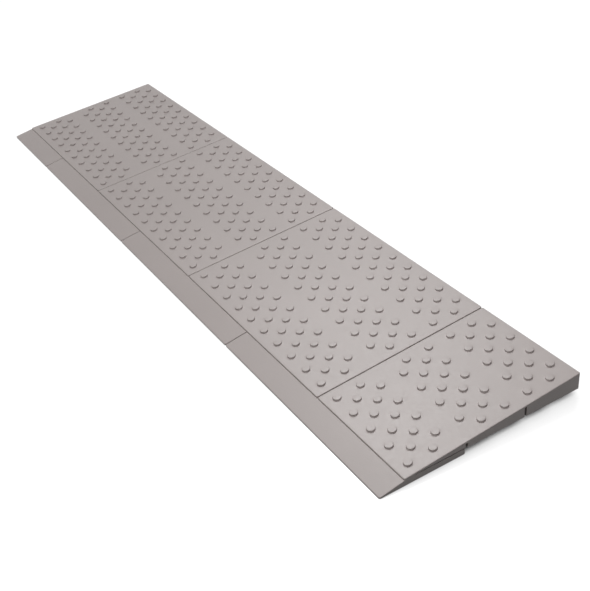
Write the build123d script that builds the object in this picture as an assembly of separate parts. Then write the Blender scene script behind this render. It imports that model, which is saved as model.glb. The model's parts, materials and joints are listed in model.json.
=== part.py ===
# Modular threshold ramp: studded wedge tiles plugged on bevelled edge strips, one layer high.
# +X runs along the width of the ramp, +Y from its low front edge to the threshold, +Z up.
# The origin is on the floor, in the middle of the ramp's outline. All sizes are in millimetres.
from build123d import *
import math
import os

# Studs on the tiles: staggered rows in bands, with a plain lane between two bands
STUD_DIAMETER = 6.6
STUD_HEIGHT = 1.4
STUD_EDGE_ROUND = 0.4
STUD_PITCH = 21.4
STUDS_PER_TILE = 10
ROW_PITCH = 10.7
ROWS_PER_BAND = 4
BANDS = 3

# Tiles
FRONT_MARGIN = 10.8
BACK_MARGIN = 9.6
TILE_FRONT = 1.2
TILE_BACK = 14.1
TILE_PLATE = 2.5
TILE_WALL = 2.5
RIB = 2.0
BAYS_PER_TILE = 4
BAYS_PER_HALF_TILE = 2
GROOVE_WIDTH = 2.0
GROOVE_WEB = 1.3
CORNER_ROUND = 1.5
TOP_EDGE_ROUND = 0.6
SEAM_GAP = 0.6

# Edge strips
NOSE_DEPTH = 20.5
NOSE_TIP = 1.0
NOSE_EDGE_ROUND = 0.4
STRIP_THICKNESS = 4.6
FRONT_GAP = 0.2

# Locking plugs, pushed up through the flange into the tile
PLUG_DIAMETER = 8.0
PLUG_HEAD_DIAMETER = 13.0
PLUG_HEAD = 1.6
PLUG_HEAD_RECESS = 0.3
PLUG_INSET = 9.0
PLUG_ROOF = 1.6
PLUG_SLOT = 1.0
PLUG_LEAD_IN = 0.6

# Feet, pushed up into the tile
FOOT_DIAMETER = 18.0
FOOT_TREAD_DIAMETER = 16.0
FOOT_EDGE_ROUND = 0.8
FOOT_STEM_DIAMETER = 8.0
FOOT_ROOF = 3.0
FOOT_LEAD_IN = 0.6
BOSS_WALL = 2.4

# Grip pads, stuck in shallow recesses under the strips
PAD_DEPTH = 12.0
PAD_RECESS = 1.0
PAD_PROUD = 0.3
PAD_NOSE_MARGIN = 1.5
PAD_END_MARGIN = 12.0
PAD_CORNER_ROUND = 3.0

# Clearances
PRESS_CLEARANCE = 0.05
LIFT_CLEARANCE = 0.1
HEAD_CLEARANCE = 0.3
TIP_CLEARANCE = 0.3
PAD_CLEARANCE = 0.25

# Modules from the +X end to the -X end, each with the number of bays that it covers
TILES = {
    "half_tile": BAYS_PER_HALF_TILE,
    "tile_1": BAYS_PER_TILE,
    "tile_2": BAYS_PER_TILE,
    "tile_3": BAYS_PER_TILE,
}
STRIPS = {
    "edge_strip_1": BAYS_PER_TILE,
    "edge_strip_2": BAYS_PER_TILE,
    "edge_strip_3": BAYS_PER_TILE,
    "half_edge_strip": BAYS_PER_HALF_TILE,
}

# Sizes that follow from those above
ROWS = BANDS * (ROWS_PER_BAND + 1) - 1
TILE_DEPTH = FRONT_MARGIN + (ROWS - 1) * ROW_PITCH + BACK_MARGIN
SLOPE = (TILE_BACK - TILE_FRONT) / TILE_DEPTH
BAY = STUDS_PER_TILE * STUD_PITCH / BAYS_PER_TILE
RAMP_SPAN = BAY * sum(TILES.values())
TILE_START = NOSE_DEPTH + FRONT_GAP
LANES = [FRONT_MARGIN + (band * (ROWS_PER_BAND + 1) - 1) * ROW_PITCH for band in range(1, BANDS)]
FLANGE_DEPTH = LANES[0] - GROOVE_WIDTH / 2
STRIP_DEPTH = TILE_START + FLANGE_DEPTH
RAMP_DEPTH = TILE_START + TILE_DEPTH
SEAT_HEIGHT = PAD_PROUD + STRIP_THICKNESS
PLUG_Y = FLANGE_DEPTH - PLUG_INSET
PLUG_SOCKET_DIAMETER = PLUG_DIAMETER + 2 * LIFT_CLEARANCE
FOOT_SOCKET_DIAMETER = FOOT_STEM_DIAMETER + 2 * PRESS_CLEARANCE
BOSS_DIAMETER = FOOT_SOCKET_DIAMETER + 2 * BOSS_WALL

# Blocks, cones and posts stand with their underside on Z = 0
STANDING = (Align.CENTER, Align.CENTER, Align.MIN)


def tile_thickness(y):
    """Height of a tile's sloping top above its flat underside, y behind its front edge."""
    return TILE_FRONT + SLOPE * y


def band_limits(band):
    """Front and rear faces of one band's block, behind the tile's front edge."""
    front = LANES[band - 1] + GROOVE_WIDTH / 2 if band > 0 else 0.0
    rear = LANES[band] - GROOVE_WIDTH / 2 if band < BANDS - 1 else TILE_DEPTH
    return front, rear


def foot_rows():
    """Places of the rows of feet behind the tile's front edge: the middle of each band but the first."""
    return [sum(band_limits(band)) / 2 for band in range(1, BANDS)]


def plug_socket_depth():
    """Depth of a plug's socket in a tile, which leaves the roof over the socket's front side."""
    return tile_thickness(PLUG_Y - PLUG_SOCKET_DIAMETER / 2) - PLUG_ROOF


def foot_socket_depth():
    """Depth of a foot's socket in a tile, which leaves the roof over the first row's front side."""
    return tile_thickness(foot_rows()[0] - FOOT_SOCKET_DIAMETER / 2) - FOOT_ROOF


def bay_centres(bays):
    """Middle of each bay of a module, from the module's own middle."""
    return [(i - (bays - 1) / 2) * BAY for i in range(bays)]


def module_places(modules):
    """Middle of each module along the ramp, laid side by side from the +X end."""
    places = {}
    edge = RAMP_SPAN / 2
    for name, bays in modules.items():
        places[name] = edge - bays * BAY / 2
        edge -= bays * BAY
    return places


def prism(points, width):
    """Solid of a side outline, given as (y, z) points, that runs evenly to both sides of X = 0."""
    outline = make_face(Polyline(*points, close=True))
    return extrude(Plane.YZ * outline, amount=width / 2, both=True)


def upright(diameter, height):
    """Round post that stands on Z = 0."""
    return Cylinder(diameter / 2, height, align=STANDING)


def stud():
    """One anti-slip stud, with its foot sunk by the height of its rounding."""
    post = Pos(0, 0, -STUD_EDGE_ROUND) * upright(STUD_DIAMETER, STUD_HEIGHT + STUD_EDGE_ROUND)
    rim = post.edges().sort_by(Axis.Z)[-1]
    return fillet(rim, min(STUD_EDGE_ROUND, STUD_HEIGHT / 2))


def stud_places(bays):
    """Places of a tile's studs as (x, y): rows of every other stud, staggered by half a pitch."""
    across = round(bays * BAY / STUD_PITCH)
    places = []
    for row in range(ROWS):
        if (row + 1) % (ROWS_PER_BAND + 1) == 0:
            continue
        count = across - row % 2
        for i in range(count):
            places.append(((i - (count - 1) / 2) * STUD_PITCH, FRONT_MARGIN + row * ROW_PITCH))
    return places


def tile_blank(bays):
    """Solid wedge of a tile, with its corners and its top edge rounded."""
    outline = [(0, 0), (TILE_DEPTH, 0), (TILE_DEPTH, TILE_BACK), (0, TILE_FRONT)]
    blank = prism(outline, bays * BAY - SEAM_GAP)
    blank = fillet(blank.edges().filter_by(Axis.Z), CORNER_ROUND)
    return fillet(blank.faces().sort_by(Axis.Z)[-1].edges(), min(TOP_EDGE_ROUND, TILE_FRONT / 2))


def bay_hollow(band, place, bays):
    """Hollow under one bay of one band, round the boss that holds the foot and the rib through it."""
    front = band_limits(band)[0] + TILE_WALL
    rear = band_limits(band)[1] - TILE_WALL
    side = (bays * BAY - SEAM_GAP) / 2 - TILE_WALL
    left = max(place - BAY / 2 + RIB / 2, -side)
    right = min(place + BAY / 2 - RIB / 2, side)
    roof = [(rear, tile_thickness(rear) - TILE_PLATE), (front, tile_thickness(front) - TILE_PLATE)]
    hollow = Pos((left + right) / 2, 0, 0) * prism([(front, 0), (rear, 0)] + roof, right - left)
    centre = Pos(place, foot_rows()[band - 1], 0)
    boss = centre * upright(BOSS_DIAMETER, TILE_BACK)
    rib = centre * Box(2 * BAY, RIB, TILE_BACK, align=STANDING)
    return hollow - boss - rib


def groove(lane, bays):
    """Cutting groove across the underside of a tile, below a plain lane."""
    height = tile_thickness(lane - GROOVE_WIDTH / 2) - GROOVE_WEB
    return Pos(0, lane, 0) * Box(bays * BAY, GROOVE_WIDTH, height, align=STANDING)


def tile(bays):
    """Moulded tile: hollow blocks under one sloping plate, with studs on top and sockets below."""
    cuts = [groove(lane, bays) for lane in LANES]
    for place in bay_centres(bays):
        cuts.append(Pos(place, PLUG_Y, 0) * upright(PLUG_SOCKET_DIAMETER, plug_socket_depth()))
        for row_y in foot_rows():
            cuts.append(Pos(place, row_y, 0) * upright(FOOT_SOCKET_DIAMETER, foot_socket_depth()))
        for band in range(1, BANDS):
            cuts.append(bay_hollow(band, place, bays))
    tilt = Rot(math.degrees(math.atan(SLOPE)), 0, 0)
    one_stud = stud()
    studs = [Pos(x, y, tile_thickness(y)) * tilt * one_stud for x, y in stud_places(bays)]
    return tile_blank(bays) - cuts + studs


def pad_outline(bays, spare):
    """Outline of a strip's grip pad, grown all round by spare."""
    length = bays * BAY - SEAM_GAP - 2 * PAD_END_MARGIN
    corner = min(PAD_CORNER_ROUND, PAD_DEPTH / 3)
    return RectangleRounded(length + 2 * spare, PAD_DEPTH + 2 * spare, corner + spare)


def pad_places():
    """Places of the two grip pads behind the tip: under the nose, and between the nose and the plugs."""
    under_nose = NOSE_DEPTH - PAD_NOSE_MARGIN - PAD_DEPTH / 2
    under_flange = TILE_START + (PLUG_Y - PLUG_HEAD_DIAMETER / 2) / 2
    return [under_nose, under_flange]


def strip(bays):
    """Edge strip: a bevelled nose and a flat flange, with plug holes and pad recesses below."""
    outline = [
        (0, 0),
        (STRIP_DEPTH, 0),
        (STRIP_DEPTH, STRIP_THICKNESS),
        (NOSE_DEPTH, STRIP_THICKNESS),
        (0, NOSE_TIP),
    ]
    blank = prism(outline, bays * BAY - SEAM_GAP)
    blank = fillet(blank.edges().filter_by(Axis.Z), CORNER_ROUND)
    tip_edge = blank.edges().filter_by(Axis.X).group_by(Axis.Y)[0].sort_by(Axis.Z)[-1]
    blank = fillet(tip_edge, min(NOSE_EDGE_ROUND, NOSE_TIP / 2))
    hole = upright(PLUG_DIAMETER + 2 * PRESS_CLEARANCE, STRIP_THICKNESS)
    head_pocket = upright(PLUG_HEAD_DIAMETER + 2 * HEAD_CLEARANCE, PLUG_HEAD + PLUG_HEAD_RECESS)
    cuts = []
    for place in bay_centres(bays):
        middle = Pos(place, TILE_START + PLUG_Y, 0)
        cuts.append(middle * hole)
        cuts.append(middle * head_pocket)
    for pad_y in pad_places():
        recess = extrude(pad_outline(bays, PAD_CLEARANCE), amount=PAD_RECESS)
        cuts.append(Pos(0, pad_y, 0) * recess)
    return blank - cuts


def plug():
    """Locking plug with a flat head and a stem split crosswise at its tip."""
    length = STRIP_THICKNESS - PLUG_HEAD_RECESS + plug_socket_depth() - TIP_CLEARANCE
    stem = upright(PLUG_DIAMETER, length)
    stem = chamfer(stem.edges().sort_by(Axis.Z)[-1], PLUG_LEAD_IN)
    head = upright(PLUG_HEAD_DIAMETER, PLUG_HEAD)
    split = Box(PLUG_SLOT, PLUG_HEAD_DIAMETER, length, align=STANDING)
    split = Pos(0, 0, length - plug_socket_depth()) * split
    return Pos(0, 0, PLUG_HEAD_RECESS) * (head + stem - split - Rot(0, 0, 90) * split)


def foot():
    """Rubber foot with a tapered tread on the floor and a stem in the tile's boss."""
    tread = Cone(FOOT_TREAD_DIAMETER / 2, FOOT_DIAMETER / 2, SEAT_HEIGHT, align=STANDING)
    tread = fillet(tread.edges().sort_by(Axis.Z)[0], FOOT_EDGE_ROUND)
    stem = upright(FOOT_STEM_DIAMETER, foot_socket_depth() - TIP_CLEARANCE)
    stem = chamfer(stem.edges().sort_by(Axis.Z)[-1], FOOT_LEAD_IN)
    return tread + Pos(0, 0, SEAT_HEIGHT) * stem


def group(solids):
    """Like pieces that stay separate solids under one name."""
    return Compound(children=list(solids))


def write(name, shape):
    """Save one named piece, moved so that the ramp's outline is centred on the origin."""
    export_step(Pos(0, -RAMP_DEPTH / 2, 0) * shape, os.path.join("parts", name + ".step"))


def main():
    os.makedirs("parts", exist_ok=True)
    for name, centre in module_places(TILES).items():
        bays = TILES[name]
        write(name, Pos(centre, TILE_START, SEAT_HEIGHT) * tile(bays))
        for row_name, row_y in zip(("middle_feet", "rear_feet"), foot_rows()):
            feet = [Pos(centre + x, TILE_START + row_y, 0) * foot() for x in bay_centres(bays)]
            write(row_name + "_" + name, group(feet))
    for name, centre in module_places(STRIPS).items():
        bays = STRIPS[name]
        write(name, Pos(centre, 0, PAD_PROUD) * strip(bays))
        plugs = [Pos(centre + x, TILE_START + PLUG_Y, PAD_PROUD) * plug() for x in bay_centres(bays)]
        write("plugs_" + name, group(plugs))
        pad = extrude(pad_outline(bays, 0), amount=PAD_PROUD + PAD_RECESS)
        pads = [Pos(centre, pad_y, 0) * pad for pad_y in pad_places()]
        write("grip_pads_" + name, group(pads))


if __name__ == "__main__":
    main()
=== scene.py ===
"""Dresses the threshold ramp: tiles, edge strips, plugs, feet and grip pads on a studio floor.

Lengths are in metres. +X runs along the ramp's width, +Y from the low front edge to the threshold, +Z up.
"""

import json
import math
from functools import partialmethod

import bmesh
import bpy
from bpy.props import FloatProperty, FloatVectorProperty, IntProperty, PointerProperty
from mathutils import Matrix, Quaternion, Vector


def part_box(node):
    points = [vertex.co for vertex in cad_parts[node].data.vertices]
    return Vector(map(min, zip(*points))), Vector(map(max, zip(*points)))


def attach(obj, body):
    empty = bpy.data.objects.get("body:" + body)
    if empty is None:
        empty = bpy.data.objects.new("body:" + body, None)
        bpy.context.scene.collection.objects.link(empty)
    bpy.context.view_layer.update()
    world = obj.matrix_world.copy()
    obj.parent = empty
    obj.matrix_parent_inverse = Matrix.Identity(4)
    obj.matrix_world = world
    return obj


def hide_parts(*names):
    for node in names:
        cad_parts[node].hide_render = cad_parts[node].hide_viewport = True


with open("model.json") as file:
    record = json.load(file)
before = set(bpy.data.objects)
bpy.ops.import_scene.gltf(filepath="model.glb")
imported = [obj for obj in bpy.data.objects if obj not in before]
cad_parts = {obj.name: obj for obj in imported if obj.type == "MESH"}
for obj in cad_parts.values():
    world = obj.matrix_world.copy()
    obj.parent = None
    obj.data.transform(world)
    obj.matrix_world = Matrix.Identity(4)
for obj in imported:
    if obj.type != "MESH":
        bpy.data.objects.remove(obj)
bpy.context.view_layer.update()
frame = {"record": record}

bl_info = {
    "name": "Threshold ramp",
    "version": (1, 0, 0),
    "blender": (4, 5, 0),
    "location": "3D View > Sidebar > Ramp",
    "description": "Builds the moulded pieces of a modular threshold ramp around its solid model",
    "category": "Object",
}

TILES = ("half_tile", "tile_1", "tile_2", "tile_3")
STRIPS = ("edge_strip_1", "edge_strip_2", "edge_strip_3", "half_edge_strip")
FOOT_ROWS = ("middle_feet", "rear_feet")
PADS_PER_STRIP = 2

UP = Vector((0, 0, 1))
DOWN = -UP
QUARTER = math.pi / 2

# Points nearer than these become one: a shell's corners, and the stud field's border on a tile
WELD = 1e-6
STUD_WELD = 1e-5
# Edges that turn by more than this stay sharp
CREASE = math.radians(50)
CORNER_STEPS = 5
EDGE_STEPS = 3
SOCKET_SIDES = 24

# Noise of the finishes: its roughness, and the values between which shade and gloss spread
NOISE_ROUGHNESS = 0.55
NOISE_LOW = 0.3
NOISE_HIGH = 0.7
SHADOW_SAMPLES = 16
SENSOR_WIDTH = 36.0

ROW_TREE = "Row of pieces"
RECORD_COLOURS = {material["slot"]: material["base_color"] for material in frame["record"]["materials"]}

# For each slot: scale and detail of its noise fields, and what they do to its shade, gloss and relief
RUBBER = {
    "fields": {"dust": (250.0, 4.0), "grain": (1200.0, 2.0)},
    "shade": ("dust", 0.85, 1.35),
    "gloss": ("dust", 0.75, 0.9),
    "relief": (("grain", 0.00004),),
}
FINISHES = {
    # Spark-eroded grain, faint flow clouds and an even matt gloss
    "ramp_plastic": {
        "fields": {"clouds": (9.0, 3.0), "pores": (420.0, 1.0), "grain": (1500.0, 2.0)},
        "shade": ("clouds", 0.97, 1.03),
        "gloss": ("pores", 0.37, 0.43),
        "relief": (("pores", 0.00002), ("grain", 0.00003)),
    },
    "plug_plastic": {
        "fields": {"clouds": (60.0, 2.0), "grain": (900.0, 2.0)},
        "shade": ("clouds", 0.9, 1.1),
        "gloss": ("grain", 0.3, 0.4),
        "relief": (("grain", 0.00002),),
    },
    "foot_rubber": RUBBER,
    "pad_rubber": RUBBER,
}


def measure(unit, **limits):
    """Maker of properties that hold a number in a unit."""

    def make(name, default, description):
        return FloatProperty(name=name, description=description, default=default, unit=unit, **limits)

    return make


length = measure("LENGTH", min=0.0, precision=5)
watts = measure("POWER")
share = measure("NONE")


def angle(name, degrees, description):
    """Property that holds an angle."""
    return measure("ROTATION")(name, math.radians(degrees), description)


def place(name, default, description):
    """Property that holds a place."""
    return FloatVectorProperty(name=name, description=description, default=default, unit="LENGTH")


def colour(name, slot, description):
    """Property that holds a colour, which starts as the record's for a material slot."""
    start = RECORD_COLOURS[slot]
    return FloatVectorProperty(
        name=name, description=description, default=start, size=3, min=0.0, max=1.0, subtype="COLOR"
    )


def count(name, default, description):
    """Property that holds a whole number."""
    return IntProperty(name=name, description=description, default=default)


class TileSizes(bpy.types.PropertyGroup):
    """Sizes of the studded tiles."""

    cell: length("Stud grid", 0.0107, "Pitch of the grid with a stud on every other place")
    cells_per_bay: count("Cells per bay", 5, "Grid cells from one foot to the next")
    rows_per_band: count("Rows per band", 4, "Stud rows between two plain lanes")
    bands: count("Bands", 3, "Studded bands from front to back")
    front_margin: length("Front margin", 0.0108, "Front edge to the first row of studs")
    front_height: length("Front height", 0.0012, "Thickness at the front edge")
    back_height: length("Back height", 0.0141, "Thickness at the back edge")
    plate: length("Plate", 0.0025, "Thickness of the sloping plate over the hollows")
    wall: length("Wall", 0.0025, "Thickness of the walls round the hollows")
    rib: length("Rib", 0.002, "Thickness of the ribs between the hollows")
    groove_width: length("Groove width", 0.002, "Width of the cutting grooves under the plain lanes")
    groove_web: length("Groove web", 0.0013, "Plastic left above a cutting groove")
    corner_round: length("Corner round", 0.0015, "Radius of the upright corners")
    edge_round: length("Edge round", 0.0006, "Radius of the top edge")
    step_start: length("Step start", 0.0096, "Front edge to the step under the front band's sides")
    step_width: length("Step width", 0.003, "Width of that step")
    step_height: length("Step height", 0.0008, "Height of that step")
    stud_diameter: length("Stud diameter", 0.0066, "Across a stud's wall")
    stud_height: length("Stud height", 0.0014, "Height of a stud above the plate")
    stud_rim: length("Stud rim", 0.0004, "Rounding of a stud's top edge")
    stud_root: length("Stud root", 0.0002, "Rounding where a stud meets the plate")
    stud_sides: count("Stud sides", 16, "Sides of a stud, a multiple of four")


class StripSizes(bpy.types.PropertyGroup):
    """Sizes of the edge strips."""

    nose_depth: length("Nose depth", 0.0205, "Tip to the crest of the bevelled nose")
    nose_tip: length("Nose tip", 0.001, "Thickness at the tip")
    crest_round: length("Crest round", 0.0004, "Reach of the soft edge on each side of the crest")
    corner_round: length("Corner round", 0.0015, "Radius of the upright corners")
    edge_round: length("Edge round", 0.0004, "Radius of the top edge")
    head_pocket: length("Head pocket", 0.0019, "Depth of the pocket for a plug's head")
    pad_recess: length("Pad recess", 0.001, "Depth of the recess for a grip pad")


class FixingSizes(bpy.types.PropertyGroup):
    """Sizes of the locking plugs, the feet and the grip pads."""

    plug_diameter: length("Plug diameter", 0.008, "Across a plug's stem")
    plug_head: length("Plug head", 0.0016, "Thickness of a plug's head")
    plug_soft: length("Plug soft edge", 0.0002, "Chamfer of the edges of a plug's head")
    plug_slot: length("Plug slot", 0.001, "Width of the cross that splits a plug's tip")
    plug_split: length("Plug split", 0.0026, "Depth of the cross that splits a plug's tip")
    lead_in: length("Lead-in", 0.0006, "Chamfer of the stems' tips")
    foot_tread: length("Foot tread", 0.016, "Diameter of a foot at the floor")
    foot_stem: length("Foot stem", 0.008, "Diameter of a foot's stem")
    foot_round: length("Foot round", 0.0008, "Rounding of a foot's lower edge")
    foot_groove: length("Foot groove", 0.0005, "Depth of the hollow under a foot")
    boss_wall: length("Boss wall", 0.0024, "Wall of the boss that holds a foot's stem")
    press_clearance: length("Press clearance", 0.00005, "Gap round a pressed stem")
    lift_clearance: length("Lift clearance", 0.0001, "Gap round a plug in a tile")
    tip_clearance: length("Tip clearance", 0.0003, "Gap above a stem's tip")
    head_clearance: length("Head clearance", 0.0003, "Gap round a plug's head")
    pad_depth: length("Pad depth", 0.012, "Grip pad from front to back")
    pad_corner: length("Pad corner", 0.003, "Radius of a grip pad's corners")
    pad_clearance: length("Pad clearance", 0.00025, "Gap round a grip pad")
    pad_rib: length("Pad rib", 0.001, "Pitch of the ribs under a grip pad")
    pad_groove: length("Pad groove", 0.0002, "Depth of the grooves between those ribs")


class Finishes(bpy.types.PropertyGroup):
    """Colours of the pieces, by material slot."""

    ramp_plastic: colour("Ramp plastic", "ramp_plastic", "Tiles and edge strips")
    plug_plastic: colour("Plug plastic", "plug_plastic", "Locking plugs")
    foot_rubber: colour("Foot rubber", "foot_rubber", "Feet")
    pad_rubber: colour("Pad rubber", "pad_rubber", "Grip pads")


class StageSettings(bpy.types.PropertyGroup):
    """Camera, lamps and floor."""

    lens: measure("CAMERA")("Lens", 59.57, "Focal length of the camera")
    eye: place("Eye", (0.7558, -0.349, 0.4735), "Place of the camera")
    azimuth: angle("Azimuth", 61.13, "Turn of the view, 0 along +Y")
    elevation: angle("Elevation", 33.68, "How far the view looks down")
    roll: angle("Roll", 5.5, "Clockwise tilt of the camera")
    key_power: watts("Key power", 39.5, "Softbox behind the far end")
    key_azimuth: angle("Key azimuth", 30.0, "Turn of that softbox, 0 along -X")
    key_elevation: angle("Key elevation", 54.0, "Height of that softbox")
    key_size: length("Key size", 0.9, "Side of that softbox")
    fill_power: watts("Fill power", 22.4, "Softbox before the ramp")
    fill_azimuth: angle("Fill azimuth", -104.0, "Turn of that softbox, 0 along -X")
    fill_elevation: angle("Fill elevation", 23.0, "Height of that softbox")
    fill_size: length("Fill size", 2.2, "Side of that softbox")
    lamp_distance: length("Lamp distance", 3.0, "Both softboxes to the ramp's middle")
    top_power: watts("Top power", 1.83, "Small softbox over the near end")
    top_place: place("Top place", (0.3, 0.02, 0.7), "Place of the small softbox")
    top_size: length("Top size", 0.5, "Side of the small softbox")
    ambient: share("Ambient", 0.01, "Strength of the light from all round")
    floor_reach: length("Floor reach", 4.0, "Middle of the floor to its sides")
    floor_grey: share("Floor grey", 0.1, "Share of light that the floor returns")
    floor_gloss: share("Floor gloss", 0.06, "Share that the floor mirrors")
    floor_roughness: share("Floor roughness", 0.2, "How blurred the floor's mirror is")
    floor_glow: share("Floor glow", 0.95, "White that the floor adds for the view")
    # Painted contact shadow on the floor: its white for the view fades by occlusion near the ramp
    shadow_reach: length("Shadow reach", 0.025, "How far from the ramp the floor's white starts to fade")
    shadow_fade: share("Shadow fade", 2.1, "How late the white fades there")
    shadow_depth: share("Shadow depth", 1.5, "How much of the white fades")


def turn_face(face, facing):
    """Turns a face to the side that facing points to."""
    face.normal_update()
    if face.normal.dot(facing) < 0:
        face.normal_flip()


class Shell:
    """Skin made of faces given by their corner points, welded where points meet."""

    def __init__(self):
        self.bm = bmesh.new()

    def corners(self, points):
        """New corners at these points."""
        return [self.bm.verts.new(point) for point in points]

    def face(self, points, facing):
        """One flat face, turned to the side that facing points to."""
        turn_face(self.bm.faces.new(self.corners(points)), facing)

    def band(self, lower, upper):
        """Four-sided faces between two lines of points, which face right of the way that they run."""
        for i in range(len(lower) - 1):
            self.bm.faces.new(self.corners((lower[i], lower[i + 1], upper[i + 1], upper[i])))

    def tube(self, *rings):
        """Bands from ring to ring, which face out where the rings run anticlockwise."""
        for lower, upper in zip(rings, rings[1:]):
            self.band(lower + lower[:1], upper + upper[:1])

    def region(self, rings, facing):
        """Flat region inside the first ring and outside the others."""
        edges = []
        for ring in rings:
            corners = self.corners(ring)
            for i, corner in enumerate(corners):
                edges.append(self.bm.edges.new((corners[i - 1], corner)))
        made = bmesh.ops.triangle_fill(self.bm, use_beauty=True, edges=edges)["geom"]
        for face in made:
            if isinstance(face, bmesh.types.BMFace):
                turn_face(face, facing)

    def blind_hole(self, ring, roof):
        """Hole up into the underside, from an anticlockwise ring to the roof's height over each point."""
        lower = ring[::-1]
        upper = [Vector((point.x, point.y, roof(point.y))) for point in lower]
        self.tube(lower, upper)
        self.face(upper, DOWN)

    def mesh(self, name):
        """Plain mesh of the skin."""
        bmesh.ops.remove_doubles(self.bm, verts=self.bm.verts, dist=WELD)
        mesh = bpy.data.meshes.new(name)
        self.bm.to_mesh(mesh)
        self.bm.free()
        return mesh


def level(spots, z):
    """Spots seen from above as points at one height."""
    return [Vector((x, y, z)) for x, y in spots]


def circle(x, y, z, diameter):
    """Anticlockwise ring of points."""
    turns = [2 * math.pi * i / SOCKET_SIDES for i in range(SOCKET_SIDES)]
    return level([(x + diameter / 2 * math.cos(t), y + diameter / 2 * math.sin(t)) for t in turns], z)


def rounded_corners(low, high, radius):
    """Four lists of (centre, way out) for an outline's corners, anticlockwise from the front right."""
    near, far = low.y + radius, high.y - radius
    left, right = low.x + radius, high.x - radius
    corners = []
    for i, centre in enumerate(((right, near), (right, far), (left, far), (left, near))):
        turns = [QUARTER * (i - 1 + step / CORNER_STEPS) for step in range(CORNER_STEPS + 1)]
        corners.append([(Vector(centre), Vector((math.cos(t), math.sin(t)))) for t in turns])
    return corners


class Edge:
    """Rounded top edge of a moulding; each of its stations is a spot of the rim and the way out there."""

    def __init__(self, low, high, sizes, top):
        self.top = top
        self.ground = low.z
        self.radius = sizes.edge_round
        # Stations round the four corners, anticlockwise from the front right
        reach = sizes.corner_round - sizes.edge_round
        rounds = rounded_corners(low, high, sizes.corner_round)
        self.corners = [[(centre + out * reach, out) for centre, out in corner] for corner in rounds]
        self.front = self.corners[3] + self.corners[0]
        self.rear = self.corners[1] + self.corners[2]

    def line(self, stations, turn):
        """Line of the rounding along stations, turned from flat on top to upright."""
        points = []
        for rim, out in stations:
            spot = rim + out * self.radius * math.sin(turn)
            points.append(Vector((*spot, self.top(spot.y) - self.radius * (1 - math.cos(turn)))))
        return points

    def rim(self, stations):
        """Upper limit of the rounding."""
        return self.line(stations, 0.0)

    def outer(self, stations):
        """Lower limit of the rounding, on the walls."""
        return self.line(stations, QUARTER)

    def feet(self, stations):
        """Points of the walls on the ground, below stations."""
        return level([rim + out * self.radius for rim, out in stations], self.ground)

    def build(self, shell, sides, profile=()):
        """The rounding and the walls below it; the profile is the lower line of the left and right ones."""
        stations = [station for side, corner in zip(sides, self.corners) for station in (*side, *corner)]
        steps = range(EDGE_STEPS, -1, -1)
        shell.tube(*[self.line(stations, QUARTER * step / EDGE_STEPS) for step in steps])
        for i, (side, corner) in enumerate(zip(sides, self.corners)):
            upper = [self.corners[i - 1][-1], *side, corner[0]]
            lower = self.feet((upper[0], upper[-1]))
            if i % 2:
                way = 1 if lower[1].y > lower[0].y else -1
                lower[1:1] = [Vector((lower[0].x, y, z)) for y, z in profile[::way]]
            shell.face(lower + self.outer(upper)[::-1], Vector((*corner[0][1], 0)))
            shell.band(self.feet(corner), self.outer(corner))


def bay_width(sizes):
    """Width of a bay, which has one plug and one foot of each row."""
    return sizes.cells_per_bay * sizes.cell


def bay_middles(module, sizes):
    """Middles of the bays along a tile or a strip."""
    low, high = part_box(module)
    bay = bay_width(sizes)
    bays = round((high.x - low.x) / bay)
    return [(low.x + high.x) / 2 + (i - (bays - 1) / 2) * bay for i in range(bays)]


def row_place(node):
    """Middle of a row of fixings seen from above, its depth, and its lower and upper heights."""
    low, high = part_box(node)
    return (low.x + high.x) / 2, (low.y + high.y) / 2, high.y - low.y, low.z, high.z


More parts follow.
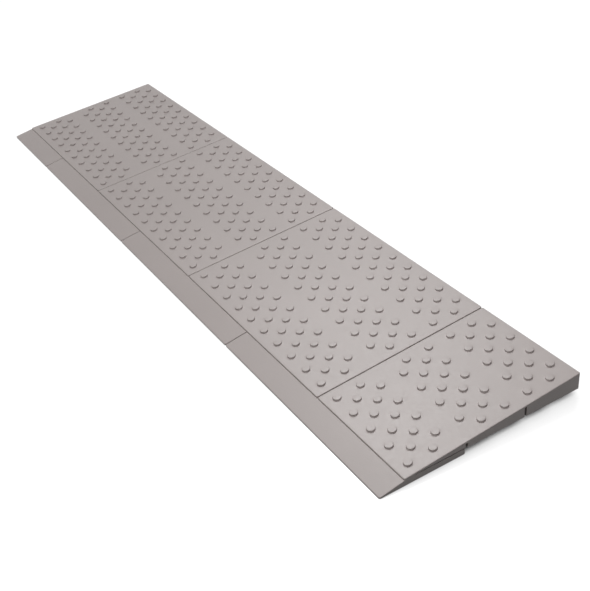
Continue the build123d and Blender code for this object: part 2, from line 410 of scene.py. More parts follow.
class TilePlan:
    """Where everything on one tile lies, from its box in the frame and the sizes."""

    def __init__(self, node, sizes, fixings):
        self.node = node
        self.sizes = sizes
        self.low, self.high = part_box(node)
        self.slope = (sizes.back_height - sizes.front_height) / (self.high.y - self.low.y)
        self.columns = round((self.high.x - self.low.x) / sizes.cell) - 1
        self.rows = sizes.bands * (sizes.rows_per_band + 1) - 1
        self.middle_x = (self.low.x + self.high.x) / 2
        self.first_row = self.low.y + sizes.front_margin
        self.xs = self.cell_lines(self.middle_x - (self.columns - 1) / 2 * sizes.cell, self.columns)
        self.ys = self.cell_lines(self.first_row, self.rows)
        self.step_y = self.low.y + sizes.step_start
        self.bay_xs = bay_middles(node, sizes)
        # Front, rear and roof of the cutting groove under each lane
        self.grooves = []
        for band in range(1, sizes.bands):
            lane = self.first_row + (band * (sizes.rows_per_band + 1) - 1) * sizes.cell
            near, far = lane - sizes.groove_width / 2, lane + sizes.groove_width / 2
            self.grooves.append((near, far, self.top(near) - sizes.groove_web))
        # Front and rear of each band's block
        ends = [self.low.y, *[y for groove in self.grooves for y in groove[:2]], self.high.y]
        self.blocks = list(zip(ends[::2], ends[1::2]))
        foot_socket = fixings.foot_stem + 2 * fixings.press_clearance
        self.boss = foot_socket + 2 * fixings.boss_wall
        # For each band: how far back its sockets lie, their diameter and the height of their roofs
        self.sockets = []
        for band, row in enumerate(("plugs_" + STRIPS[0], *[row + "_" + node for row in FOOT_ROWS])):
            _, y, _, _, tip = row_place(row)
            size = foot_socket if band else fixings.plug_diameter + 2 * fixings.lift_clearance
            self.sockets.append((y, size, tip + fixings.tip_clearance))

    def cell_lines(self, first, cells):
        """Grid lines along one way, with points between them that match a stud's sides."""
        half = self.sizes.cell / 2
        steps = self.sizes.stud_sides // 4
        offsets = [half * math.tan(QUARTER * (step / steps - 0.5)) for step in range(steps)]
        lines = [first + i * self.sizes.cell + offset for i in range(cells) for offset in offsets]
        return lines + [first + (cells - 1) * self.sizes.cell + half]

    def top(self, y):
        """Height of the sloping top."""
        return self.low.z + self.sizes.front_height + self.slope * (y - self.low.y)

    def side_profile(self):
        """Lower line of a tile's side from front to back: the step, then the ends of the cutting grooves."""
        ground = self.low.z
        height = ground + self.sizes.step_height
        line = [(self.step_y, ground), (self.step_y, height)]
        for near, far, roof in self.grooves:
            line += [(near, height), (near, roof), (far, roof), (far, ground)]
            height = ground
        return line

    def pocket(self, bay_x, band, side):
        """Anticlockwise outline of the hollow on one side of a bay's rib: the boss bites into it."""
        sizes = self.sizes
        rib_y = self.sockets[band][0]
        front, rear = self.blocks[band]
        far = rear - sizes.wall if side > 0 else front + sizes.wall
        near = rib_y + side * sizes.rib / 2
        reach = (bay_width(sizes) - sizes.rib) / 2
        left = max(bay_x - reach, self.low.x + sizes.wall)
        right = min(bay_x + reach, self.high.x - sizes.wall)
        start = math.asin(sizes.rib / self.boss)
        steps = SOCKET_SIDES // 2
        turns = [start + (math.pi - 2 * start) * i / steps for i in range(steps + 1)]
        radius = self.boss / 2
        bite = [(bay_x + radius * math.cos(t), rib_y + side * radius * math.sin(t)) for t in turns]
        points = level([(left, far), (right, far), (right, near), *bite, (left, near)], self.low.z)
        return points if side < 0 else points[::-1]


def tile_top(shell, plan, edge):
    """Border of a tile's top round the stud grid; returns the edge's stations along the four sides."""
    xs, ys = plan.xs, plan.ys
    borders = (
        (Vector((0, -1)), -plan.low.y, [(x, ys[0]) for x in xs]),
        (Vector((1, 0)), plan.high.x, [(xs[-1], y) for y in ys]),
        (Vector((0, 1)), plan.high.y, [(x, ys[-1]) for x in xs[::-1]]),
        (Vector((-1, 0)), -plan.low.x, [(xs[0], y) for y in ys[::-1]]),
    )
    sides = []
    for i, (out, reach, spots) in enumerate(borders):
        rims = [Vector(s) + out * (reach - Vector(s).dot(out) - plan.sizes.edge_round) for s in spots]
        sides.append([(rim, out) for rim in rims])
        inner = [Vector((x, y, plan.top(y))) for x, y in spots]
        outer = edge.rim(sides[-1])
        shell.band(outer, inner)
        fan = [outer[-1]] + edge.rim(edge.corners[i])
        for start, end in zip(fan, fan[1:]):
            shell.face((start, end, inner[-1]), UP)
        shell.face((edge.rim(edge.corners[i - 1])[-1], outer[0], inner[0]), UP)
    return sides


def tile_grooves(shell, plan):
    """Inner faces of the cutting grooves; the step under each side opens into the first one."""
    left, right, ground = plan.low.x, plan.high.x, plan.low.z
    width, height = plan.sizes.step_width, ground + plan.sizes.step_height
    for i, (near, far, roof) in enumerate(plan.grooves):
        front = rear = [(left, ground), (right, ground), (right, roof), (left, roof)]
        if i == 0:
            front = [(left + width, ground), (right - width, ground), (right - width, height)]
            front += [(right, height), (right, roof), (left, roof), (left, height), (left + width, height)]
        shell.face([Vector((x, near, z)) for x, z in front], Vector((0, 1, 0)))
        shell.face([Vector((x, far, z)) for x, z in rear], Vector((0, -1, 0)))
        shell.face(level([(left, near), (right, near), (right, far), (left, far)], roof), DOWN)


def tile_steps(shell, plan):
    """Faces of the shallow step under each side of the front band."""
    start, rear = plan.step_y, plan.blocks[0][1]
    rise = Vector((0, 0, plan.sizes.step_height))
    for side, inward in ((plan.low.x, 1), (plan.high.x, -1)):
        inner = side + inward * plan.sizes.step_width
        corners = level([(side, start), (inner, start), (inner, rear), (side, rear)], plan.low.z)
        shell.face([corner + rise for corner in corners], DOWN)
        for i, facing in ((0, Vector((0, 1, 0))), (1, Vector((-inward, 0, 0)))):
            line = corners[i:i + 2]
            shell.face(line + [corner + rise for corner in line[::-1]], facing)


def tile_underside(shell, plan, edge):
    """Underside of each band: plug sockets in the first one, feet sockets and hollows in the others."""
    ground = plan.low.z
    left, right = plan.low.x, plan.high.x
    for band, (front, rear) in enumerate(plan.blocks):
        before = level([(left, front), (right, front)], ground)
        after = level([(right, rear), (left, rear)], ground)
        if band == 0:
            start, width = plan.step_y, plan.sizes.step_width
            notch = [(right, start), (right - width, start), (right - width, rear)]
            notch += [(left + width, rear), (left + width, start), (left, start)]
            before, after = edge.feet(edge.front), level(notch, ground)
        if band == plan.sizes.bands - 1:
            after = edge.feet(edge.rear)
        socket_y, socket_size, socket_roof = plan.sockets[band]
        holes = []
        for x in plan.bay_xs:
            holes.append(circle(x, socket_y, ground, socket_size))
            shell.blind_hole(holes[-1], lambda y: socket_roof)
            for side in (-1, 1) if band else ():
                holes.append(plan.pocket(x, band, side))
                shell.blind_hole(holes[-1], lambda y: plan.top(y) - plan.sizes.plate)
        shell.region([before + after, *holes], DOWN)


def tile_shell(plan):
    """Mesh of a tile without the studded part of its top."""
    shell = Shell()
    edge = Edge(plan.low, plan.high, plan.sizes, plan.top)
    edge.build(shell, tile_top(shell, plan, edge), plan.side_profile())
    tile_grooves(shell, plan)
    tile_steps(shell, plan)
    tile_underside(shell, plan, edge)
    return shell.mesh(plan.node)


def plug_holes(shell, node, sizes, fixings, middles):
    """Holes for a strip's plugs and their heads; returns their lower and their upper rings."""
    low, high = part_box(node)
    _, y, head, _, _ = row_place("plugs_" + node)
    pocket = head + 2 * fixings.head_clearance
    hole = fixings.plug_diameter + 2 * fixings.press_clearance
    ceiling = low.z + sizes.head_pocket
    profile = ((low.z, pocket), (ceiling, pocket), (ceiling, hole), (high.z, hole))
    mouths, holes = [], []
    for x in middles:
        rings = [circle(x, y, *part) for part in profile]
        shell.tube(*[ring[::-1] for ring in rings])
        mouths.append(rings[0])
        holes.append(rings[-1])
    return mouths, holes


def pad_recesses(shell, node, sizes, fixings):
    """Rounded recesses for a strip's grip pads; returns their rings."""
    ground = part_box(node)[0].z
    low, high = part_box("grip_pads_" + node)
    spare = fixings.pad_clearance
    radius = fixings.pad_corner + spare
    rings = []
    for front in (low.y, high.y - fixings.pad_depth):
        recess_low = Vector((low.x - spare, front - spare))
        recess_high = Vector((high.x + spare, front + fixings.pad_depth + spare))
        corners = rounded_corners(recess_low, recess_high, radius)
        rings.append(level([centre + out * radius for corner in corners for centre, out in corner], ground))
        shell.blind_hole(rings[-1], lambda y: ground + sizes.pad_recess)
    return rings


def strip_shell(node, sizes, fixings, middles):
    """Mesh of an edge strip: nose, flange, plug holes with pockets for the heads, and pad recesses."""
    low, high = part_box(node)
    rise = high.z - low.z - sizes.nose_tip

    def top(y):
        """Height of the bevelled nose, then of the flat flange."""
        return low.z + sizes.nose_tip + rise * min((y - low.y) / sizes.nose_depth, 1.0)

    shell = Shell()
    edge = Edge(low, high, sizes, top)
    crest = low.y + sizes.nose_depth
    crest_lines = (crest - sizes.crest_round, crest, crest + sizes.crest_round)
    right = [(Vector((high.x - sizes.edge_round, y)), Vector((1, 0))) for y in crest_lines]
    left = [(Vector((low.x + sizes.edge_round, y)), Vector((-1, 0))) for y in crest_lines]
    edge.build(shell, ([], right, [], left[::-1]))
    mouths, holes = plug_holes(shell, node, sizes, fixings, middles)
    recesses = pad_recesses(shell, node, sizes, fixings)
    shell.region([edge.feet(edge.front + edge.rear), *mouths, *recesses], DOWN)
    lines = list(zip(edge.rim(left), edge.rim(right)))
    shell.face([*edge.rim(edge.front), *lines[0][::-1]], UP)
    for front, rear in zip(lines, lines[1:]):
        shell.band(front, rear)
    shell.region([[*lines[-1], *edge.rim(edge.rear)], *holes], UP)
    return shell.mesh(node)


def plug_shell(node, fixings):
    """Mesh of one plug at the middle of its row: a head, and a stem split by a cross at its tip."""
    x, y, width, base, tip = row_place(node)
    half_slot = fixings.plug_slot / 2
    radius = fixings.plug_diameter / 2
    turns = [QUARTER * i for i in range(4)]

    def point(reach, turn, z):
        return Vector((x + reach * math.cos(turn), y + reach * math.sin(turn), z))

    def quarter(turn, reach, z):
        """Outer points of one quarter of the stem, between two arms of the cross."""
        start = math.asin(half_slot / min(reach, radius))
        sweep = QUARTER - 2 * start
        return [point(reach, turn + start + sweep * i / CORNER_STEPS, z) for i in range(CORNER_STEPS + 1)]

    def outline(turn, reach, z):
        """Closed outline of that quarter, with its corner beside the stem's axis."""
        return quarter(turn, reach, z) + [point(half_slot * math.sqrt(2), turn + QUARTER / 2, z)]

    soft, lead_in = fixings.plug_soft, fixings.lead_in
    head, head_top = width / 2, base + fixings.plug_head
    floor = tip - fixings.plug_split
    profile = ((head - soft, base), (head, base + soft), (head, head_top - soft), (head - soft, head_top))
    profile += ((radius, head_top), (radius, floor))
    rings = [[p for turn in turns for p in quarter(turn, reach, z)] for reach, z in profile]
    shell = Shell()
    shell.face(rings[0], DOWN)
    shell.tube(*rings)
    cross = []
    for turn in turns:
        below = outline(turn, radius, floor)
        end = outline(turn, radius - lead_in, tip)
        shell.tube(below, outline(turn, radius, tip - lead_in), end)
        shell.face(end, UP)
        cross += [below[0], below[-1], below[-2]]
    shell.face(cross, UP)
    return shell.mesh(node)


def foot_shell(node, fixings, seat):
    """Mesh of one foot at the middle of its row: tapered tread with a hollow below, and a stem."""
    x, y, flange, base, tip = row_place(node)
    tread, stem = fixings.foot_tread, fixings.foot_stem
    soft, groove = fixings.foot_round, fixings.foot_groove
    taper = (flange - tread) / 2 / (seat - base)
    profile = [(base + groove, tread / 2), (base, tread / 2 + 2 * groove)]
    for step in range(EDGE_STEPS + 1):
        turn = QUARTER * step / EDGE_STEPS
        rise = soft * (1 - math.cos(turn))
        profile.append((base + rise, tread - 2 * soft * (1 - math.sin(turn)) + 2 * taper * rise))
    profile += [(seat - soft / 4, flange - soft / 2), (seat, flange - soft), (seat, stem)]
    profile += [(tip - fixings.lead_in, stem), (tip, stem - 2 * fixings.lead_in)]
    rings = [circle(x, y, *part) for part in profile]
    shell = Shell()
    shell.face(rings[0], DOWN)
    shell.tube(*rings)
    shell.face(rings[-1], UP)
    return shell.mesh(node)


def pad_shell(node, fixings):
    """Mesh of one grip pad half way between the two: fine ribs along its underside, plain on top."""
    low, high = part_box(node)
    middle = (low.y + high.y) / 2
    half = fixings.pad_depth / 2
    corner = fixings.pad_corner
    lines = round(fixings.pad_depth / fixings.pad_rib) * 2
    left, right = [], []
    for i in range(lines + 1):
        y = -half + fixings.pad_depth * i / lines
        past = max(abs(y) - (half - corner), 0.0)
        inset = corner - math.sqrt(max(corner**2 - past**2, 0.0))
        z = low.z + fixings.pad_groove * (i % 2)
        left.append(Vector((low.x + inset, middle + y, z)))
        right.append(Vector((high.x - inset, middle + y, z)))
    ring = right + left[::-1]
    top = [Vector((p.x, p.y, high.z)) for p in ring]
    shell = Shell()
    shell.band(left, right)
    shell.tube(ring, top)
    shell.face(top, UP)
    return shell.mesh(node)


class Nodes:
    """Node tree under construction."""

    def __init__(self, tree):
        self.tree = tree

    def add(self, kind, values=None, **settings):
        """New node with its settings, and its inputs linked or set by name or number."""
        node = self.tree.nodes.new(kind)
        for setting, value in settings.items():
            setattr(node, setting, value)
        for socket, value in (values or {}).items():
            if isinstance(value, bpy.types.NodeSocket):
                self.tree.links.new(value, node.inputs[socket])
            else:
                node.inputs[socket].default_value = value
        return node

    def out(self, kind, values=None, **settings):
        """First output of a new node."""
        return self.add(kind, values, **settings).outputs[0]

    def calculate(self, kind, operation, *parts):
        """Result of an operation on sockets or values."""
        return self.out(kind, dict(enumerate(parts)), operation=operation)

    number = partialmethod(calculate, "ShaderNodeMath")
    integer = partialmethod(calculate, "FunctionNodeIntegerMath")
    logic = partialmethod(calculate, "FunctionNodeBooleanMath")
    vector = partialmethod(calculate, "ShaderNodeVectorMath")

    def scaled(self, way, factor):
        """Vector times a number."""
        return self.out("ShaderNodeVectorMath", {0: way, "Scale": factor}, operation="SCALE")

    def moved(self, geometry, position, selection=True):
        """Geometry with the selected points at new positions."""
        values = {"Geometry": geometry, "Selection": selection, "Position": position}
        return self.out("GeometryNodeSetPosition", values)

    def joined(self, *parts):
        """Several geometries as one."""
        node = self.add("GeometryNodeJoinGeometry")
        for part in parts:
            self.tree.links.new(part, node.inputs[0])
        return node.outputs[0]


def new_tree(name, inputs):
    """Geometry node tree with named inputs of each kind; returns its nodes and its inputs' sockets."""
    tree = bpy.data.node_groups.new(name, "GeometryNodeTree")
    tree.interface.new_socket("Geometry", in_out="OUTPUT", socket_type="NodeSocketGeometry")
    for kind, labels in inputs.items():
        for label in labels:
            tree.interface.new_socket(label, in_out="INPUT", socket_type="NodeSocket" + kind)
    nodes = Nodes(tree)
    return nodes, nodes.add("NodeGroupInput").outputs


def end_tree(nodes, geometry, material):
    """Last nodes of a tree: plain geometry with its material."""
    plain = nodes.out("GeometryNodeRealizeInstances", {"Geometry": geometry})
    finished = nodes.out("GeometryNodeSetMaterial", {"Geometry": plain, "Material": material})
    nodes.add("NodeGroupOutput", {0: finished})
    return nodes.tree


def flat_position(nodes):
    """Field of the points' positions seen from above."""
    return nodes.vector("MULTIPLY", nodes.out("GeometryNodeInputPosition"), (1, 1, 0))


def on_square(nodes, cell):
    """Field that moves a ring's points out to the square outline of a grid cell."""
    flat = flat_position(nodes)
    sides = nodes.add("ShaderNodeSeparateXYZ", {0: nodes.vector("ABSOLUTE", flat)}).outputs
    reach = nodes.number("MAXIMUM", sides[0], sides[1])
    half = nodes.number("MULTIPLY", cell, 0.5)
    return nodes.scaled(flat, nodes.number("DIVIDE", half, reach))


def on_ring(nodes, radius, height):
    """Field that moves a ring's points to a radius and a height."""
    way = nodes.vector("NORMALIZE", flat_position(nodes))
    lift = nodes.out("ShaderNodeCombineXYZ", {"Z": height})
    return nodes.vector("ADD", nodes.scaled(way, radius), lift)


def on_slope(nodes, inputs):
    """Field that lays flat points on a tile's slope, with heights square to it."""
    parts = nodes.add("ShaderNodeSeparateXYZ", {0: nodes.out("GeometryNodeInputPosition")}).outputs
    rise = nodes.number("MULTIPLY", parts["Y"], inputs["Slope"])
    laid = nodes.out("ShaderNodeCombineXYZ", {"X": parts["X"], "Y": parts["Y"], "Z": rise})
    lean = {"Y": nodes.number("MULTIPLY", inputs["Slope"], -1.0), "Z": 1.0}
    square = nodes.vector("NORMALIZE", nodes.out("ShaderNodeCombineXYZ", lean))
    raised = nodes.vector("ADD", laid, nodes.scaled(square, parts["Z"]))
    return nodes.vector("ADD", raised, inputs["Middle"])


def disc(nodes, inputs):
    """Flat disc with as many sides as a stud."""
    return nodes.out("GeometryNodeMeshCircle", {"Vertices": inputs["Stud sides"]}, fill_type="NGON")


def stud_patch(nodes, inputs):
    """One grid cell with a stud: rings from the stud's cap down its wall and out to the cell's square."""
    radius = nodes.number("MULTIPLY", inputs["Stud diameter"], 0.5)
    height, rim, root = inputs["Stud height"], inputs["Rim round"], inputs["Root round"]
    cap = on_ring(nodes, nodes.number("SUBTRACT", radius, rim), height)
    mesh = nodes.moved(disc(nodes, inputs), cap)
    rings = (
        on_ring(nodes, radius, nodes.number("SUBTRACT", height, rim)),
        on_ring(nodes, radius, root),
        on_ring(nodes, nodes.number("ADD", radius, root), 0.0),
        on_square(nodes, inputs["Cell"]),
    )
    border = True
    for ring in rings:
        values = {"Mesh": mesh, "Selection": border, "Offset Scale": 0.0}
        grown = nodes.add("GeometryNodeExtrudeMesh", values, mode="EDGES").outputs
        border = grown["Top"]
        mesh = nodes.moved(grown["Mesh"], ring, border)
    return mesh


def stud_places(nodes, inputs):
    """Fields of the grid's points with a stud, on every other one outside the lanes, and without one."""
    index = nodes.out("GeometryNodeInputIndex")
    column = nodes.integer("DIVIDE_FLOOR", index, inputs["Rows"])
    row = nodes.integer("FLOORED_MODULO", index, inputs["Rows"])
    odd_place = nodes.integer("FLOORED_MODULO", nodes.integer("ADD", column, row), 2)
    band = nodes.integer("ADD", inputs["Rows per band"], 1)
    to_lane = nodes.integer("FLOORED_MODULO", nodes.integer("ADD", row, 1), band)
    plain = nodes.logic("OR", odd_place, nodes.logic("NOT", to_lane))
    return nodes.logic("NOT", plain), plain


def stud_tree():
    """Tree that lays the studded grid on a tile's slope and welds it to the tile."""
    kinds = {
        "Geometry": ("Geometry",),
        "Int": ("Columns", "Rows", "Rows per band", "Stud sides"),
        "Float": ("Cell", "Slope", "Stud diameter", "Stud height", "Rim round", "Root round", "Weld"),
        "Vector": ("Middle",),
        "Material": ("Material",),
    }
    nodes, inputs = new_tree("Studded tile", kinds)
    values = {}
    for way, points in (("X", inputs["Columns"]), ("Y", inputs["Rows"])):
        gaps = nodes.number("SUBTRACT", points, 1.0)
        values["Size " + way] = nodes.number("MULTIPLY", gaps, inputs["Cell"])
        values["Vertices " + way] = points
    grid = nodes.out("GeometryNodeMeshGrid", values)
    # A cell without a stud has the same outline points as one with a stud
    plain = nodes.moved(disc(nodes, inputs), on_square(nodes, inputs["Cell"]))
    laid = []
    for patch, places in zip((stud_patch(nodes, inputs), plain), stud_places(nodes, inputs)):
        values = {"Points": grid, "Selection": places, "Instance": patch}
        laid.append(nodes.out("GeometryNodeInstanceOnPoints", values))
    flat = nodes.out("GeometryNodeRealizeInstances", {"Geometry": nodes.joined(*laid)})
    whole = nodes.joined(inputs["Geometry"], nodes.moved(flat, on_slope(nodes, inputs)))
    values = {"Geometry": whole, "Distance": inputs["Weld"]}
    return end_tree(nodes, nodes.out("GeometryNodeMergeByDistance", values), inputs["Material"])


def row_tree():
    """Tree that repeats a piece in a row about its own middle, made once."""
    if ROW_TREE in bpy.data.node_groups:
        return bpy.data.node_groups[ROW_TREE]
    kinds = {"Geometry": ("Geometry",), "Int": ("Count",), "Vector": ("Step",), "Material": ("Material",)}
    nodes, inputs = new_tree(ROW_TREE, kinds)
    gaps = nodes.number("SUBTRACT", inputs["Count"], 1.0)
    start = nodes.scaled(inputs["Step"], nodes.number("MULTIPLY", gaps, -0.5))
    values = {"Count": inputs["Count"], "Start Location": start, "Offset": inputs["Step"]}
    line = nodes.out("GeometryNodeMeshLine", values, mode="OFFSET")
    row = nodes.out("GeometryNodeInstanceOnPoints", {"Points": line, "Instance": inputs["Geometry"]})
    return end_tree(nodes, row, inputs["Material"])


def evaluate(obj):
    """Gives an object the plain mesh that its modifiers make, and removes them."""
    graph = bpy.context.evaluated_depsgraph_get()
    evaluated = obj.evaluated_get(graph)
    mesh = bpy.data.meshes.new_from_object(evaluated, preserve_all_data_layers=True, depsgraph=graph)
    obj.modifiers.clear()
    obj.data = mesh


def new_object(name, data):
    """Object in the scene."""
    obj = bpy.data.objects.new(name, data)
    bpy.context.scene.collection.objects.link(obj)
    return obj


def body_of(node):
    """Body that a node of the frame belongs to."""
    for body, nodes in frame["record"]["behaviour"]["bodies"].items():
        if node in nodes:
            return body
    raise RuntimeError("no body holds " + node)


def make_piece(kind, node, mesh, slot, tree=None, inputs=None):
    """Finished piece that stands for a node and rides on its body."""
    name = kind + "_" + node
    obj = new_object(name, mesh)
    material = finish(slot)
    if tree is not None:
        modifier = obj.modifiers.new(tree.name, "NODES")
        modifier.node_group = tree
        for label, value in {**inputs, "Material": material}.items():
            modifier[tree.interface.items_tree[label].identifier] = value
        evaluate(obj)
    obj.data.materials.clear()
    obj.data.materials.append(material)
    obj.data.shade_smooth()
    obj.data.set_sharp_from_angle(angle=CREASE)
    weighted = obj.modifiers.new("Flat faces stay flat", "WEIGHTED_NORMAL")
    weighted.mode = "FACE_AREA"
    weighted.keep_sharp = True
    evaluate(obj)
    obj.data.name = name
    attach(obj, body_of(node))
    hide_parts(node)


def emptied(owner):
    """Nodes of a material or a world, which starts with none."""
    owner.use_nodes = True
    owner.node_tree.nodes.clear()
    return Nodes(owner.node_tree)


def finish(slot):
    """Material of a slot, made once, whose noise fields drive its shade, roughness and relief."""
    name = slot + "_finish"
    if name in bpy.data.materials:
        return bpy.data.materials[name]
    material = bpy.data.materials.new(name)
    nodes = emptied(material)
    coordinates = nodes.add("ShaderNodeTexCoord").outputs["Object"]
    looks = FINISHES[slot]
    noise = {}
    for field, (scale, detail) in looks["fields"].items():
        values = {"Vector": coordinates, "Scale": scale, "Detail": detail, "Roughness": NOISE_ROUGHNESS}
        noise[field] = nodes.out("ShaderNodeTexNoise", values)

    field, *shares = looks["shade"]
    base = getattr(bpy.context.scene.ramp_finishes, slot)
    ramp = nodes.add("ShaderNodeValToRGB", {0: noise[field]})
    for stop, position, part in zip(ramp.color_ramp.elements, (NOISE_LOW, NOISE_HIGH), shares):
        stop.position = position
        stop.color = (*(channel * part for channel in base), 1.0)

    field, low, high = looks["gloss"]
    values = {"Value": noise[field], "From Min": NOISE_LOW, "From Max": NOISE_HIGH}
    roughness = nodes.out("ShaderNodeMapRange", {**values, "To Min": low, "To Max": high})

    normal = {}
    for field, depth in looks["relief"]:
        values = {"Height": noise[field], "Distance": depth, **normal}
        normal = {"Normal": nodes.out("ShaderNodeBump", values)}

    values = {"Base Color": ramp.outputs[0], "Roughness": roughness, **normal}
    nodes.add("ShaderNodeOutputMaterial", {"Surface": nodes.out("ShaderNodeBsdfPrincipled", values)})
    return material


def bay_row(module, sizes):
    """Inputs of the row tree for a fixing that every bay of a module has."""
    return {"Count": len(bay_middles(module, sizes)), "Step": (bay_width(sizes), 0, 0)}


class RAMP_OT_tiles(bpy.types.Operator):
    """Builds the studded tiles"""

    bl_idname = "ramp.tiles"
    bl_label = "Studded tiles"

    def execute(self, context):
        sizes = context.scene.ramp_tiles
        tree = stud_tree()
        for node in TILES:
            plan = TilePlan(node, sizes, context.scene.ramp_fixings)
            middle_y = plan.first_row + (plan.rows - 1) / 2 * sizes.cell
            inputs = {
                "Columns": plan.columns,
                "Rows": plan.rows,
                "Rows per band": sizes.rows_per_band,
                "Stud sides": sizes.stud_sides,
                "Cell": sizes.cell,
                "Slope": plan.slope,
                "Stud diameter": sizes.stud_diameter,
                "Stud height": sizes.stud_height,
                "Rim round": sizes.stud_rim,
                "Root round": sizes.stud_root,
                "Weld": STUD_WELD,
                "Middle": (plan.middle_x, middle_y, plan.top(middle_y)),
            }
            make_piece("moulded", node, tile_shell(plan), "ramp_plastic", tree, inputs)
        return {"FINISHED"}


class RAMP_OT_edge_strips(bpy.types.Operator):
    """Builds the edge strips"""

    bl_idname = "ramp.edge_strips"
    bl_label = "Edge strips"

    def execute(self, context):
        scene = context.scene
        for node in STRIPS:
            middles = bay_middles(node, scene.ramp_tiles)
            mesh = strip_shell(node, scene.ramp_strips, scene.ramp_fixings, middles)
            make_piece("moulded", node, mesh, "ramp_plastic")
        return {"FINISHED"}


class RAMP_OT_plugs(bpy.types.Operator):
    """Builds the locking plugs"""

    bl_idname = "ramp.plugs"
    bl_label = "Locking plugs"

    def execute(self, context):
        scene = context.scene
        for strip in STRIPS:
            node = "plugs_" + strip
            mesh = plug_shell(node, scene.ramp_fixings)
            row = bay_row(strip, scene.ramp_tiles)
            make_piece("locking", node, mesh, "plug_plastic", row_tree(), row)
        return {"FINISHED"}


class RAMP_OT_feet(bpy.types.Operator):
    """Builds the rubber feet"""

    bl_idname = "ramp.feet"
    bl_label = "Feet"

    def execute(self, context):
        scene = context.scene
        for tile in TILES:
            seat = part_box(tile)[0].z
            row = bay_row(tile, scene.ramp_tiles)
            for node in [feet + "_" + tile for feet in FOOT_ROWS]:
                mesh = foot_shell(node, scene.ramp_fixings, seat)
                make_piece("rubber", node, mesh, "foot_rubber", row_tree(), row)
        return {"FINISHED"}


class RAMP_OT_grip_pads(bpy.types.Operator):
    """Builds the ribbed grip pads"""

    bl_idname = "ramp.grip_pads"
    bl_label = "Grip pads"

    def execute(self, context):
        fixings = context.scene.ramp_fixings
        for strip in STRIPS:
            node = "grip_pads_" + strip
            low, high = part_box(node)
            row = {"Count": PADS_PER_STRIP, "Step": (0, high.y - low.y - fixings.pad_depth, 0)}
            make_piece("ribbed", node, pad_shell(node, fixings), "pad_rubber", row_tree(), row)
        return {"FINISHED"}


def seen_rays(nodes):
    """1 for rays that show the background or its reflection, 0 for those that light the object."""
    rays = nodes.add("ShaderNodeLightPath").outputs
    shown = nodes.number("MAXIMUM", rays["Is Camera Ray"], rays["Is Glossy Ray"])
    return nodes.number("MAXIMUM", shown, rays["Is Transmission Ray"])


def floor_material(stage):
    """Pale studio floor that shows white and mirrors a little; its matt part keeps the object's real shadow,
    and its white has a painted contact shadow near the ramp.
    """
    material = bpy.data.materials.new("studio_floor")
    nodes = emptied(material)
    grey, gloss = [(part, part, part, 1.0) for part in (stage.floor_grey, stage.floor_gloss)]
    matt = nodes.out("ShaderNodeBsdfDiffuse", {"Color": grey})
    mirror = nodes.out("ShaderNodeBsdfGlossy", {"Color": gloss, "Roughness": stage.floor_roughness})
    # Painted contact shadow: near the ramp the floor's white fades by how much occlusion covers it
    sky = nodes.add("ShaderNodeAmbientOcclusion", {"Distance": stage.shadow_reach}, samples=SHADOW_SAMPLES)
    covered = nodes.number("SUBTRACT", 1.0, sky.outputs["AO"])
    painted_shadow = nodes.number("MULTIPLY", nodes.number("POWER", covered, stage.shadow_fade), stage.shadow_depth)
    white_after_painted_shadow = nodes.number("SUBTRACT", 1.0, nodes.number("MINIMUM", painted_shadow, 1.0))
    shown = nodes.number("MULTIPLY", seen_rays(nodes), white_after_painted_shadow)
    glow = nodes.out("ShaderNodeEmission", {"Strength": nodes.number("MULTIPLY", shown, stage.floor_glow)})
    body = nodes.out("ShaderNodeAddShader", {0: matt, 1: mirror})
    nodes.add("ShaderNodeOutputMaterial", {"Surface": nodes.out("ShaderNodeAddShader", {0: body, 1: glow})})
    return material


def make_floor(stage):
    """Large flat floor under the ramp."""
    reach = stage.floor_reach
    mesh = bpy.data.meshes.new("studio_floor")
    corners = [(-reach, -reach, 0), (reach, -reach, 0), (reach, reach, 0), (-reach, reach, 0)]
    mesh.from_pydata(corners, [], [(0, 1, 2, 3)])
    mesh.materials.append(floor_material(stage))
    floor = new_object("studio_floor", mesh)


def make_world(stage):
    """White surroundings for the view, and a weaker even light on the object."""
    world = bpy.data.worlds.new("studio")
    nodes = emptied(world)
    values = {"Value": seen_rays(nodes), "To Min": stage.ambient, "To Max": 1.0}
    strength = nodes.out("ShaderNodeMapRange", values)
    background = nodes.out("ShaderNodeBackground", {"Color": (1, 1, 1, 1), "Strength": strength})
    nodes.add("ShaderNodeOutputWorld", {"Surface": background})
    bpy.context.scene.world = world


def aim(obj, spot, ahead, roll=0.0):
    """Sets a lamp or a camera at a spot, with its face ahead."""
    obj.location = spot
    obj.rotation_mode = "QUATERNION"
    obj.rotation_quaternion = ahead.to_track_quat("-Z", "Y") @ Quaternion((0, 0, 1), -roll)


def direction(azimuth, elevation):
    """Way with a turn, 0 along -X, and a height."""
    across = math.cos(elevation)
    return Vector((-math.cos(azimuth) * across, math.sin(azimuth) * across, math.sin(elevation)))


def make_softbox(name, spot, size, power):
    """Square softbox that looks at the ramp's middle."""
    lamp = bpy.data.lights.new(name, "AREA")
    lamp.shape = "SQUARE"
    lamp.size = size
    lamp.energy = power
    softbox = new_object(name, lamp)
    softbox.visible_camera = False
    aim(softbox, spot, -spot)


def make_camera(stage):
    """Camera at the photograph's angle."""
    data = bpy.data.cameras.new("view")
    data.sensor_width = SENSOR_WIDTH
    data.lens = stage.lens
    camera = new_object("view", data)
    aim(camera, stage.eye, direction(QUARTER - stage.azimuth, -stage.elevation), stage.roll)
    bpy.context.scene.camera = camera


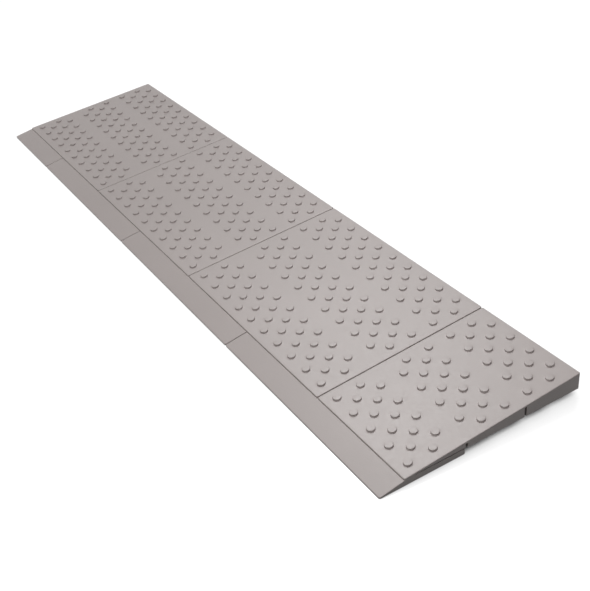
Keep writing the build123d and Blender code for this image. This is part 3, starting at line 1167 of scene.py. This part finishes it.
class RAMP_OT_stage(bpy.types.Operator):
    """Sets the floor, the lamps and the camera"""

    bl_idname = "ramp.stage"
    bl_label = "Studio stage"

    def execute(self, context):
        stage = context.scene.ramp_stage
        make_floor(stage)
        key = direction(stage.key_azimuth, stage.key_elevation) * stage.lamp_distance
        fill = direction(stage.fill_azimuth, stage.fill_elevation) * stage.lamp_distance
        make_softbox("key_softbox", key, stage.key_size, stage.key_power)
        make_softbox("fill_softbox", fill, stage.fill_size, stage.fill_power)
        make_softbox("top_softbox", Vector(stage.top_place), stage.top_size, stage.top_power)
        make_world(stage)
        make_camera(stage)
        context.scene.view_settings.view_transform = "Standard"
        return {"FINISHED"}


class RAMP_PT_sidebar(bpy.types.Panel):
    """Steps and sizes of the threshold ramp"""

    bl_label = "Threshold ramp"
    bl_space_type = "VIEW_3D"
    bl_region_type = "UI"
    bl_category = "Ramp"

    def draw(self, context):
        layout = self.layout
        for step in STEPS:
            layout.operator(step.bl_idname)
        for setting in SETTINGS:
            group = getattr(context.scene, setting)
            box = layout.box()
            for name in group.__annotations__:
                box.prop(group, name)


STEPS = (RAMP_OT_tiles, RAMP_OT_edge_strips, RAMP_OT_plugs, RAMP_OT_feet, RAMP_OT_grip_pads, RAMP_OT_stage)
SETTINGS = {
    "ramp_tiles": TileSizes,
    "ramp_strips": StripSizes,
    "ramp_fixings": FixingSizes,
    "ramp_finishes": Finishes,
    "ramp_stage": StageSettings,
}
CLASSES = (*SETTINGS.values(), *STEPS, RAMP_PT_sidebar)


def register():
    for cls in CLASSES:
        bpy.utils.register_class(cls)
    for setting, group in SETTINGS.items():
        setattr(bpy.types.Scene, setting, PointerProperty(type=group))


def unregister():
    for setting in SETTINGS:
        delattr(bpy.types.Scene, setting)
    for cls in reversed(CLASSES):
        bpy.utils.unregister_class(cls)


def main():
    register()
    bpy.ops.ramp.tiles()
    bpy.ops.ramp.edge_strips()
    bpy.ops.ramp.plugs()
    bpy.ops.ramp.feet()
    bpy.ops.ramp.grip_pads()
    bpy.ops.ramp.stage()


if __name__ == "__main__":
    main()
